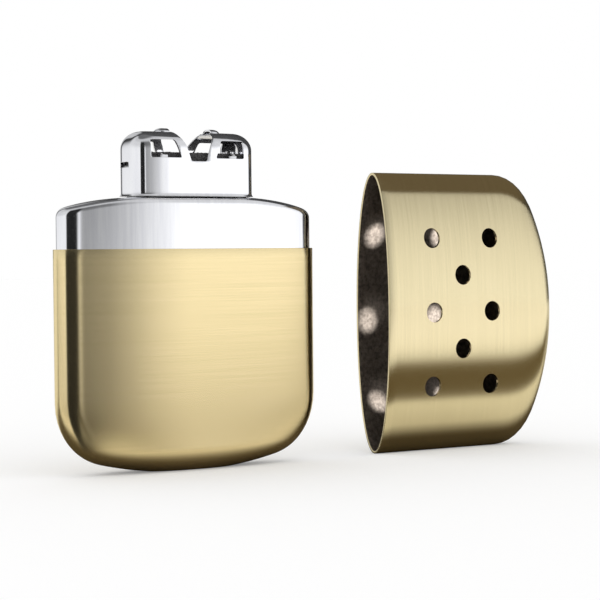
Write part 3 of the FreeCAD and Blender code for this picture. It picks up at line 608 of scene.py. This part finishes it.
def buildCap():
    form = cupForm("cap_shell", 2, 0, capShape)
    cap = buildCup("cap_case", form)
    giveMaterials(cap, goldUpright, nickelWithPaintedShade)
    giveWall(cap, form["wall"])
    carve(cap, ventPunches(form))
    # laid on its narrow side, its mouth towards the tank
    low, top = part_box("cap_shell")
    activate(cap)
    cap.rotation_euler = (0, -math.pi / 2, 0)
    cap.location = (top.x, 0, (low.z + top.z) / 2)
    bpy.ops.object.transform_apply(location=True, rotation=True, scale=True)
    smoothByAngle(cap)
    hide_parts("cap_shell")
    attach(cap, "cap")
    addVentLamp(cap)


def ventPunches(form):
    # one round bar through both faces for each vent
    deselectAll()
    punches = []
    mouth = form["height"] - form["flat"]
    for column, rows in enumerate(vents["rows"]):
        for row in rows:
            place = (row * vents["row"] * mm, 0,
                     mouth - (vents["firstFromRim"] + column * vents["column"]) * mm)
            bpy.ops.mesh.primitive_cylinder_add(vertices=vents["sides"], radius=vents["diameter"] / 2 * mm,
                                                depth=form["thickness"] * 2, location=place,
                                                rotation=(math.pi / 2, 0, 0))
            punches.append(bpy.context.active_object)
    for punch in punches:
        punch.select_set(True)
    bpy.ops.object.join()
    return bpy.context.active_object


# the tank's chromed upper shell, in mm: its top is flat over the seat and falls away along an arch
# on each side; the hole for the neck is long, wide and with round corners
domeShape = {
    "wall": 0.6, "edgeRound": 1.6, "seatWidth": 20.0, "arch": 88.0,
    "neckHole": (28.8, 8.6, 3.5), "holeReach": 4.0,
    "edgeSteps": 7, "holeSteps": 8,
    "endFan": 6,      # degrees of the ring, each way, that each end face takes
    "touch": 0.01,
}


def roundedBlock(name, width, depth, bottom, top, corner, steps):
    # a block with its four upright edges rounded, centred on the Z axis
    deselectAll()
    bpy.ops.mesh.primitive_cube_add(size=1, location=(0, 0, (bottom + top) / 2),
                                    scale=(width, depth, top - bottom))
    block = bpy.context.active_object
    block.name = name
    bpy.ops.object.transform_apply(location=True, rotation=True, scale=True)
    bpy.ops.object.mode_set(mode="EDIT")
    pick(block, "EDGE", lambda edge: abs(edge.verts[0].co.z - edge.verts[1].co.z) > (top - bottom) / 2)
    bpy.ops.mesh.bevel(offset=corner, segments=steps, affect="EDGES")
    return block


def stepInwards(size, rise, shrink):
    # one row up and in, keeping the edge's offset even on both axes; returns the new size
    bpy.ops.mesh.extrude_region_move(TRANSFORM_OT_translate={"value": (0, 0, rise)})
    new = (size[0] - 2 * shrink, size[1] - 2 * shrink)
    bpy.ops.transform.resize(value=(new[0] / size[0], new[1] / size[1], 1), center_override=(0, 0, 0))
    return new


def roundOver(size, radius, steps, lastTurn=math.pi / 2):
    # rows round a top edge, from upright to the last turn
    for step in range(1, steps + 1):
        before, after = (lastTurn * number / steps for number in (step - 1, step))
        size = stepInwards(size, radius * (math.sin(after) - math.sin(before)),
                           radius * (math.cos(before) - math.cos(after)))
    return size


def buildDome():
    form = {key: value * mm for key, value in domeShape.items() if isinstance(value, float)}
    low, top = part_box("tank_dome")
    size = (top.x - low.x, top.y - low.y)
    dome = ovalRing("dome_upper_shell", size[0], size[1], low.z)
    skirt = top.z - form["edgeRound"] - low.z
    bpy.ops.mesh.extrude_region_move(TRANSFORM_OT_translate={"value": (0, 0, skirt)})
    roundOver(size, form["edgeRound"], domeShape["edgeSteps"])
    # close the top with strips from face to face, then its two small ends
    nearTop = top.z - form["touch"]
    reach = (size[0] / 2 - form["edgeRound"]) * math.cos(math.radians(domeShape["endFan"]))
    pick(dome, "EDGE", lambda edge: all(v.co.z > nearTop and abs(v.co.x) < reach for v in edge.verts)
         and edge.is_boundary)
    bpy.ops.mesh.bridge_edge_loops()
    for side in (-1, 1):
        pick(dome, "EDGE", lambda edge: edge.is_boundary and all(v.co.z > nearTop and v.co.x * side > 0
                                                                 for v in edge.verts))
        bpy.ops.mesh.edge_face_add()
    # the top falls away from its flat seat along two long arches
    shape = bmesh.from_edit_mesh(dome.data)
    for vertex in shape.verts:
        past = max(0, abs(vertex.co.x) - form["seatWidth"] / 2)
        if vertex.co.z > low.z + form["wall"]:
            vertex.co.z -= form["arch"] - math.sqrt(form["arch"] ** 2 - past ** 2)
    bmesh.update_edit_mesh(dome.data)
    facesOut(dome)
    bpy.ops.object.mode_set(mode="OBJECT")
    giveMaterials(dome, chrome)
    applyModifier(dome, "SOLIDIFY", thickness=form["wall"], offset=-1, use_even_offset=True)
    width, depth, corner = (side * mm for side in domeShape["neckHole"])
    hole = roundedBlock("neck_hole", width, depth, top.z - form["holeReach"], top.z + form["holeReach"],
                        corner, domeShape["holeSteps"])
    bpy.ops.object.mode_set(mode="OBJECT")
    carve(dome, hole)
    smoothByAngle(dome)
    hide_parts("tank_dome")
    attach(dome, "tank")


# the burner's pressed housing, in mm, with windows, a notch, two beads and four bent-in tabs;
# heights are from its lower edge and places along it from its middle
burner = {
    "wall": 0.45, "height": 14.3, "topRadius": 3.9, "lipFlare": 0.3, "lipHeight": 0.7, "edge": 0.07,
    "sill": 8.45, "head": 12.4, "windowInner": (4.4, 6.0), "windowOuter": 12.0, "windowCorner": 0.4,
    "notch": ((1.95, 7.7), (3.3, 11.4), (5.2, 14.3), (5.2, 16.0)), "notchCorner": 0.35,
    "tabMiddle": 8.9, "tabWidth": 1.9, "tabHeight": 0.7, "tabReach": 0.9, "tabSunk": 0.04,
    "beadStart": 5.4, "beadLength": 2.9, "beadWidth": 3.6, "beadHeight": 0.85, "beadWall": 0.4,
    "slotLow": 6.35, "slotHeight": 1.2, "slotFront": 0.9, "slotRear": 3.65,
}
# counts and shares, with turns in degrees
burnerDetail = {
    "fullness": 4.5, "wallRows": 18, "lipSteps": 4, "shoulderSteps": 12, "shoulderTurn": 84,
    "archSteps": 16, "noseShare": 0.6, "noseSteps": 8, "noseTurn": 86, "cornerSteps": 4,
    "tabRoot": -0.5, "tabFront": 0.8, "tabTip": 1.5,      # a tab's corners, in tab heights over the sill
    "tabLip": 0.8, "beadRoot": 0.5, "beadHollow": 0.6,    # in walls
    "easeAngle": 45,
}


def outlineSolid(points, axis, low, high, corner=0):
    # a flat outline drawn across an axis and drawn out from low to high along it
    deselectAll()
    bpy.ops.mesh.primitive_circle_add(vertices=len(points), radius=1 * mm, fill_type="NGON")
    solid = bpy.context.active_object
    bpy.ops.object.mode_set(mode="EDIT")
    shape = bmesh.from_edit_mesh(solid.data)
    for vertex, (across, up) in zip(shape.verts, points):
        vertex.co = (across, low, up) if axis == "Y" else (low, across, up)
    bmesh.update_edit_mesh(solid.data)
    if corner:
        bpy.ops.mesh.select_all(action="SELECT")
        bpy.ops.mesh.bevel(offset=corner, segments=burnerDetail["cornerSteps"], affect="VERTICES")
    bpy.ops.mesh.select_all(action="SELECT")
    along = (0, high - low, 0) if axis == "Y" else (high - low, 0, 0)
    bpy.ops.mesh.extrude_region_move(TRANSFORM_OT_translate={"value": along})
    bpy.ops.mesh.select_all(action="SELECT")
    bpy.ops.mesh.normals_make_consistent(inside=False)
    bpy.ops.object.mode_set(mode="OBJECT")
    return solid


def beadSolid(side, top, inset, floor):
    # an arch drawn out from the notch side, then rounded down to the floor as a nose
    size = {key: burner[key] * mm for key in ("beadStart", "beadLength", "beadWidth", "beadHeight")}
    halfWidth, height = size["beadWidth"] / 2 - inset, size["beadHeight"] - inset
    steps = burnerDetail["archSteps"]
    turns = [math.pi * step / steps for step in range(steps + 1)]
    arch = [(halfWidth * math.cos(turn), top + height * math.sin(turn)) for turn in turns]
    start = side * (size["beadStart"] - inset)
    noseLength = size["beadLength"] * burnerDetail["noseShare"]
    end = start + side * (size["beadLength"] - noseLength)
    bead = outlineSolid([(halfWidth, floor)] + arch + [(-halfWidth, floor)], "X", start, end)
    bpy.ops.object.mode_set(mode="EDIT")
    pick(bead, "FACE", lambda face: all(abs(v.co.x - end) < shared["merge"] for v in face.verts))
    steps, lastTurn = burnerDetail["noseSteps"], math.radians(burnerDetail["noseTurn"])
    for step in range(1, steps + 1):
        before, after = (lastTurn * number / steps for number in (step - 1, step))
        advance = noseLength * (math.sin(after) - math.sin(before))
        bpy.ops.mesh.extrude_region_move(TRANSFORM_OT_translate={"value": (side * advance, 0, 0)})
        share = math.cos(after) / math.cos(before)
        bpy.ops.transform.resize(value=(1, share, share), center_override=(0, 0, floor))
    bpy.ops.mesh.select_all(action="SELECT")
    bpy.ops.mesh.normals_make_consistent(inside=False)
    bpy.ops.object.mode_set(mode="OBJECT")
    return bead


def burnerBlock(name, size, bottom, top, inset):
    # full-cornered oval rows from the flared lower edge up and over the rounded shoulders
    radius, lip, flare = (burner[key] * mm for key in ("topRadius", "lipHeight", "lipFlare"))
    row = (size[0] - 2 * inset + 2 * flare, size[1] - 2 * inset + 2 * flare)
    start = bottom - (lip if inset else 0)      # the hollow runs out past the lower edge
    block = ovalRing(name, row[0], row[1], start, burnerDetail["fullness"])
    bpy.ops.mesh.edge_face_add()
    if inset:
        row = stepInwards(row, lip, 0)
    steps = burnerDetail["lipSteps"]
    for step in range(steps, 0, -1):
        row = stepInwards(row, lip / steps, flare * ((step / steps) ** 2 - ((step - 1) / steps) ** 2))
    rows = burnerDetail["wallRows"]      # short rows keep the shading even round the cuts
    for _ in range(rows):
        row = stepInwards(row, (top - radius - bottom - lip) / rows, 0)
    steps, lastTurn = burnerDetail["shoulderSteps"], math.radians(burnerDetail["shoulderTurn"])
    roundOver(row, radius - inset, steps, lastTurn)
    facesOut(block)
    bpy.ops.object.mode_set(mode="OBJECT")
    return block


def buildBurner():
    form = {key: value * mm for key, value in burner.items() if isinstance(value, float)}
    low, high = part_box("burner_housing")
    bottom, top = low.z, low.z + form["height"]
    size = (high.x - low.x - 2 * form["lipFlare"], high.y - low.y - 2 * form["lipFlare"])
    wall, outer = form["wall"], size[1] / 2
    housing = burnerBlock("burner_case", size, bottom, top, 0)
    carve(housing, burnerBlock("hollow", size, bottom, top, wall))
    giveMaterials(housing, chrome)
    through = 2 * outer
    sill, head = bottom + form["sill"], bottom + form["head"]
    for side in (-1, 1):
        innerLow, innerHigh = (side * x * mm for x in burner["windowInner"])
        far = side * form["windowOuter"]
        carve(housing, outlineSolid([(innerLow, sill), (far, sill), (far, head), (innerHigh, head)], "Y",
                                    -through, through, form["windowCorner"]))
    # how far out the wall stands at a tab's outer edge, on the housing's full-cornered oval
    share, fullness = (form["tabMiddle"] + form["tabWidth"] / 2) / (size[0] / 2), burnerDetail["fullness"]
    skin = outer * (1 - share ** fullness) ** (1 / fullness) - form["tabSunk"]
    inner, rise = outer - wall - form["tabReach"], form["tabHeight"]
    root, front, tip = (sill + burnerDetail[part] * rise for part in ("tabRoot", "tabFront", "tabTip"))
    for side in (-1, 1):
        for face in (-1, 1):      # each tab grows out of the wall, just under its skin
            middle = side * form["tabMiddle"]
            edge = [(face * skin, root), (face * skin, front), (face * inner, tip),
                    (face * inner, sill + rise), (face * (skin - burnerDetail["tabLip"] * wall), root)]
            tab = outlineSolid(edge, "X", middle - form["tabWidth"] / 2, middle + form["tabWidth"] / 2)
            carve(housing, tab, "UNION")
    right = [(x * mm, bottom + z * mm) for x, z in burner["notch"]]
    left = [(-x, z) for x, z in reversed(right)]
    carve(housing, outlineSolid(left + right, "Y", -through, through, burner["notchCorner"] * mm))
    slot = bottom + form["slotLow"]
    front, rear = -form["slotFront"], form["slotRear"]
    carve(housing, outlineSolid([(front, slot), (rear, slot), (rear, slot + form["slotHeight"]),
                                 (front, slot + form["slotHeight"])], "X", -size[0], size[0],
                                form["windowCorner"]))
    for side in (-1, 1):
        carve(housing, beadSolid(side, top, 0, top - burnerDetail["beadRoot"] * wall), "UNION")
    for side in (-1, 1):
        carve(housing, beadSolid(side, top, form["beadWall"], top - burnerDetail["beadHollow"] * wall))
    applyModifier(housing, "BEVEL", width=form["edge"], segments=2, limit_method="ANGLE",
                  angle_limit=math.radians(burnerDetail["easeAngle"]))
    smoothByAngle(housing)
    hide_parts("burner_housing")
    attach(housing, "burner")


# cotton, felt, wick and catalyst: matted fibre with a lumpy skin
softPieces = {
    # name: node, body, slot, remesh size mm, lump height mm, lump size mm, how full
    "lower_cotton": ("lower_cotton_pad", "tank", "white_cotton", 0.9, 0.5, 2.5, 0.7),
    "middle_cotton": ("middle_cotton_pad", "tank", "white_cotton", 0.9, 0.5, 2.5, 0.7),
    "upper_cotton": ("upper_cotton_pad", "tank", "white_cotton", 0.9, 0.5, 2.5, 0.7),
    "wick_roll": ("neck_wick", "tank", "white_cotton", 0.5, 0.3, 1.4, 0.7),
    "felt_strip": ("cotton_felt", "tank", "grey_felt", 0.5, 0.2, 1.0, 0.9),
    "catalyst_wool": ("catalyst_mat", "burner", "catalyst_fibre", 0.2, 0.55, 0.7, 0.6),
}


softSkin = {"smoothing": 0.6, "passes": 8, "noiseDepth": 3, "sunk": 0.75, "smoothAngle": 60}


def buildSoftPiece(name, finish):
    node, body, slot, grain, lump, lumpSize, fill = softPieces[name]
    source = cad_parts[node]
    low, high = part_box(node)
    activate(source)
    bpy.ops.object.duplicate()
    piece = bpy.context.active_object
    piece.parent = None
    piece.name = name
    bpy.ops.object.mode_set(mode="EDIT")
    bpy.ops.mesh.select_all(action="SELECT")
    bpy.ops.mesh.remove_doubles(threshold=shared["merge"])
    bpy.ops.object.mode_set(mode="OBJECT")
    applyModifier(piece, "REMESH", mode="VOXEL", voxel_size=grain * mm)
    applyModifier(piece, "SMOOTH", factor=softSkin["smoothing"], iterations=softSkin["passes"])
    lumps = bpy.data.textures.new(name + "_lumps", "CLOUDS")
    lumps.noise_scale = lumpSize * mm
    lumps.noise_depth = softSkin["noiseDepth"]
    applyModifier(piece, "DISPLACE", texture=lumps, texture_coords="LOCAL", strength=lump * mm,
                  mid_level=softSkin["sunk"])
    # no lump may leave the space that the piece is packed in
    bpy.ops.object.mode_set(mode="EDIT")
    shape = bmesh.from_edit_mesh(piece.data)
    for vertex in shape.verts:
        vertex.co = [min(max(value, a), b) for value, a, b in zip(vertex.co, low, high)]
    bmesh.update_edit_mesh(piece.data)
    bpy.ops.object.mode_set(mode="OBJECT")
    smoothByAngle(piece, softSkin["smoothAngle"])
    giveMaterials(piece, finish)
    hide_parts(node)
    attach(piece, body)


placeCamera()
buildStudio()
print("camera and studio placed")
buildCase()
print("case drawn")
buildDome()
buildSeam()
print("upper shell drawn and soldered in")
buildCap()
print("cap drawn and punched")
buildBurner()
print("burner pressed and cut")
softFinish = {"white_cotton": cottonFibre, "grey_felt": feltFibre, "catalyst_fibre": catalystFibre}
for softName, facts in softPieces.items():
    buildSoftPiece(softName, softFinish[facts[2]])
print("cotton, felt and catalyst laid in")


# finishes of the pieces that stay as packed
nodeFinish = {
    "neck_collar": chrome, "neck_solder_ring": solder, "cotton_guard": stainless,
    "burner_sleeve": stainless, "catalyst_carrier": stainless,
    "catalyst_gauze": stainless, "front_grip_spring": springStrip, "rear_grip_spring": springStrip,
}
for nodeName, finish in nodeFinish.items():
    giveMaterials(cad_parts[nodeName], finish)

bpy.context.scene.view_settings.view_transform = "Standard"
